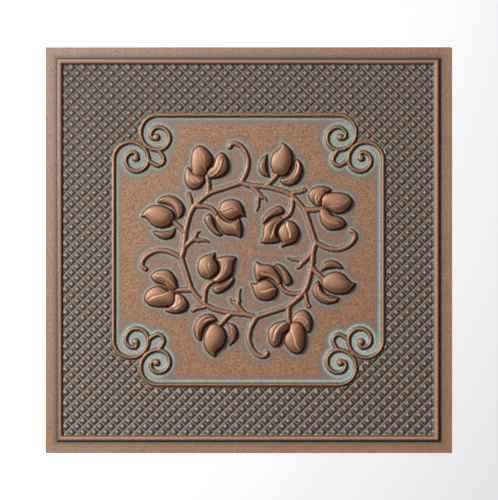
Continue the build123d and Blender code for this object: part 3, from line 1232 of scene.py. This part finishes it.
# %% Colour up a stud
# From groove to tip: pale verdigris, dark flanks, and a bright tip that is worn copper with a painted
# highlight
STUD_COLOURS = (
    (0.00, (0.30, 0.318, 0.288, 1)),
    (0.035, (0.20, 0.207, 0.186, 1)),
    (0.09, (0.078, 0.068, 0.058, 1)),
    (0.48, (0.068, 0.045, 0.035, 1)),
    (0.66, (0.185, 0.098, 0.068, 1)),
    (0.87, (0.44, 0.25, 0.170, 1)),
    (1.00, (0.86, 0.59, 0.46, 1)),
)
diaper = use_group(diaper_group, Pitch=STUD / 1000)
ramp = tree.nodes.new("ShaderNodeValToRGB")
stops = ramp.color_ramp.elements
stops[0].position, stops[0].color = STUD_COLOURS[0]
stops[1].position, stops[1].color = STUD_COLOURS[-1]
for position, colour in STUD_COLOURS[1:-1]:
    stops.new(position).color = colour
tree.links.new(diaper["Climb"], ramp.inputs[0])
print("ramp with", len(stops), "colours")

# %% Studs across the tile
DARK = (0.024, 0.013, 0.009, 1)
STUD_PAINTED_LIGHT = (0.30, 0.225, 0.175, 1)
GROOVE_CHALK_AND_LIGHT = (0.56, 0.58, 0.53, 1)
STUD_RUST = (0.46, 0.205, 0.125, 1)
FACE_PAINTED_SHADE, FACE_PAINTED_LIGHT, RUSTING = 0.6, 0.55, 0.45
GROOVE_GAIN = -14.0
TIP_GAIN, TIP_SHIFT = 2.5, -1.3
SIDE_GAIN, SIDE_MIDDLE = 1.8, 0.45
in_groove = math_node(tree, "MULTIPLY_ADD", diaper["Climb"], GROOVE_GAIN, 1.0, clamp=True)
tip = math_node(tree, "MULTIPLY_ADD", diaper["Climb"], TIP_GAIN, TIP_SHIFT, clamp=True)
down = math_node(tree, "MULTIPLY_ADD", place.outputs["Y"], -SIDE_GAIN, SIDE_MIDDLE, clamp=True)
right = math_node(tree, "MULTIPLY_ADD", place.outputs["X"], SIDE_GAIN, SIDE_MIDDLE, clamp=True)
off_diagonal = math_node(tree, "ABSOLUTE", math_node(tree, "SUBTRACT", down, right))
change = math_node(tree, "SUBTRACT", down, off_diagonal)
# Pale line in the grooves: chalk, and painted light in the grooves that rise to the right
groove_chalk_and_light = math_node(tree, "MULTIPLY_ADD", diaper["Slanting"], change, off_diagonal)
# Painted shade and painted light on the face that looks to the upper left, and painted light in the
# grooves
stud_colour = laid_on(
    ramp.outputs[0],
    (times(diaper["Upper Left"], upper_left, FACE_PAINTED_SHADE), DARK),
    (times(diaper["Upper Left"], lower_right, FACE_PAINTED_LIGHT), STUD_PAINTED_LIGHT),
    (times(groove_chalk_and_light, in_groove), GROOVE_CHALK_AND_LIGHT),
    (times(tip, right, RUSTING), STUD_RUST),
)
print("studs", len(tree.nodes), "nodes so far")

# %% [markdown]
# ### Corners, crests and bead
# Verdigris also stands in a thin line along the inside of the bead. Over it come the brown rims
# of the lobes with their painted shade, the dark corners with their painted shadow, and the
# crests, rubbed bright and with a painted highlight. The bead is a dark band of patina and painted
# shade, with a narrower bright one on it, a painted highlight on rubbed copper, duller towards
# the upper left.

# %% Corners, crests and bead
RUBBED_AND_HIGHLIGHT = (0.57, 0.31, 0.195, 1)
RIM_BROWN_AND_SHADE = (0.075, 0.030, 0.016, 1)
BEAD_DULL = (0.375, 0.212, 0.150, 1)
RIM_COVER, CREST_COVER, BEAD_COVER = 0.85, 0.8, 0.95
BEAD_DARK_WIDTH, BEAD_BRIGHT_WIDTH, BEAD_BRIGHT_INWARDS = 5.4, 2.2, 0.4
GREEN_LINE, GREEN_AMOUNT, LINE_SPECKS = (278.2, 0.9), 0.7, (200.0, 0.5)
green_line = deposit(times(band(*GREEN_LINE), GREEN_AMOUNT), *LINE_SPECKS)
# Painted light on the bead: shade over its flanks and a highlight along its top
bead_highlight = band(BEAD_LINE - BEAD_BRIGHT_INWARDS, BEAD_BRIGHT_WIDTH)
bead_highlight_colour = mixed(tree, upper_left, RUBBED_AND_HIGHLIGHT, BEAD_DULL)
finished = laid_on(
    soiled,
    (mask["field"], stud_colour),
    (green_line, green),
    (times(mask["rim"], RIM_COVER), RIM_BROWN_AND_SHADE),
    (mask["foot"], DARK),
    (times(mask["crest"], CREST_COVER), RUBBED_AND_HIGHLIGHT),
    (times(band(BEAD_LINE, BEAD_DARK_WIDTH), BEAD_COVER), DARK),
    (times(bead_highlight, BEAD_COVER), bead_highlight_colour),
)
tree.links.new(finished, shader.inputs["Base Color"])
print("layers", len(tree.nodes), "nodes so far")

# %% [markdown]
# ### Sheen and bump
# Paint over a sheet is only partly like metal: a low Metallic with a middling Roughness gives a
# dull sheen. The grain raises the surface by less than half a millimetre.

# %% Sheen and bump
shader.inputs["Metallic"].default_value = 0.25
shader.inputs["Roughness"].default_value = 0.5
shader.inputs["Specular IOR Level"].default_value = 0.35
bump = tree.nodes.new("ShaderNodeBump")
bump.inputs["Strength"].default_value = 0.3
bump.inputs["Distance"].default_value = 0.0004
tree.links.new(grain["Grain"], bump.inputs["Height"])
tree.links.new(bump.outputs["Normal"], shader.inputs["Normal"])
tile_mesh.materials.append(copper)
print("copper material", len(tree.nodes), "nodes")

# %% [markdown]
# ## Floor and light
# The tile lies on a pale floor. A large soft lamp at the upper left gives the relief its
# lights and shadows, and the world fills the shadows.

# %% Floor
FLOOR_HALF, FLOOR_DROP = 6, 0.0005
FLOOR_COLOUR, FLOOR_ROUGHNESS = (0.95, 0.95, 0.95, 1), 0.9
ways = ((-1, -1), (1, -1), (1, 1), (-1, 1))
corners = [(FLOOR_HALF * x, FLOOR_HALF * y, -FLOOR_DROP) for x, y in ways]
floor_mesh = bpy.data.meshes.new("floor")
floor_mesh.from_pydata(corners, [], [(0, 1, 2, 3)])
floor = bpy.data.objects.new("floor", floor_mesh)
bpy.context.scene.collection.objects.link(floor)
pale = bpy.data.materials.new("pale_floor")
pale.use_nodes = True
pale_shader = pale.node_tree.nodes["Principled BSDF"]
pale_shader.inputs["Base Color"].default_value = FLOOR_COLOUR
pale_shader.inputs["Roughness"].default_value = FLOOR_ROUGHNESS
floor_mesh.materials.append(pale)
print("floor", 2 * FLOOR_HALF, "m wide")

# %% Light
WORLD_STRENGTH = 0.25
KEY_PLACE, KEY_SIZE, KEY_WATTS = (-2.15, 1.0, 1.45), 0.6, 132
world = bpy.data.worlds.new("world")
bpy.context.scene.world = world
world.use_nodes = True
world.node_tree.nodes["Background"].inputs["Color"].default_value = (1, 1, 1, 1)
world.node_tree.nodes["Background"].inputs["Strength"].default_value = WORLD_STRENGTH
key_data = bpy.data.lights.new("key", "AREA")
key_data.shape = "DISK"
key_data.size = KEY_SIZE
key_data.energy = KEY_WATTS
key = bpy.data.objects.new("key", key_data)
key.location = KEY_PLACE
key.rotation_euler = (-key.location).to_track_quat("-Z", "Y").to_euler()
bpy.context.scene.collection.objects.link(key)
bpy.context.scene.view_settings.view_transform = "Standard"
print("key lamp", KEY_WATTS, "W")
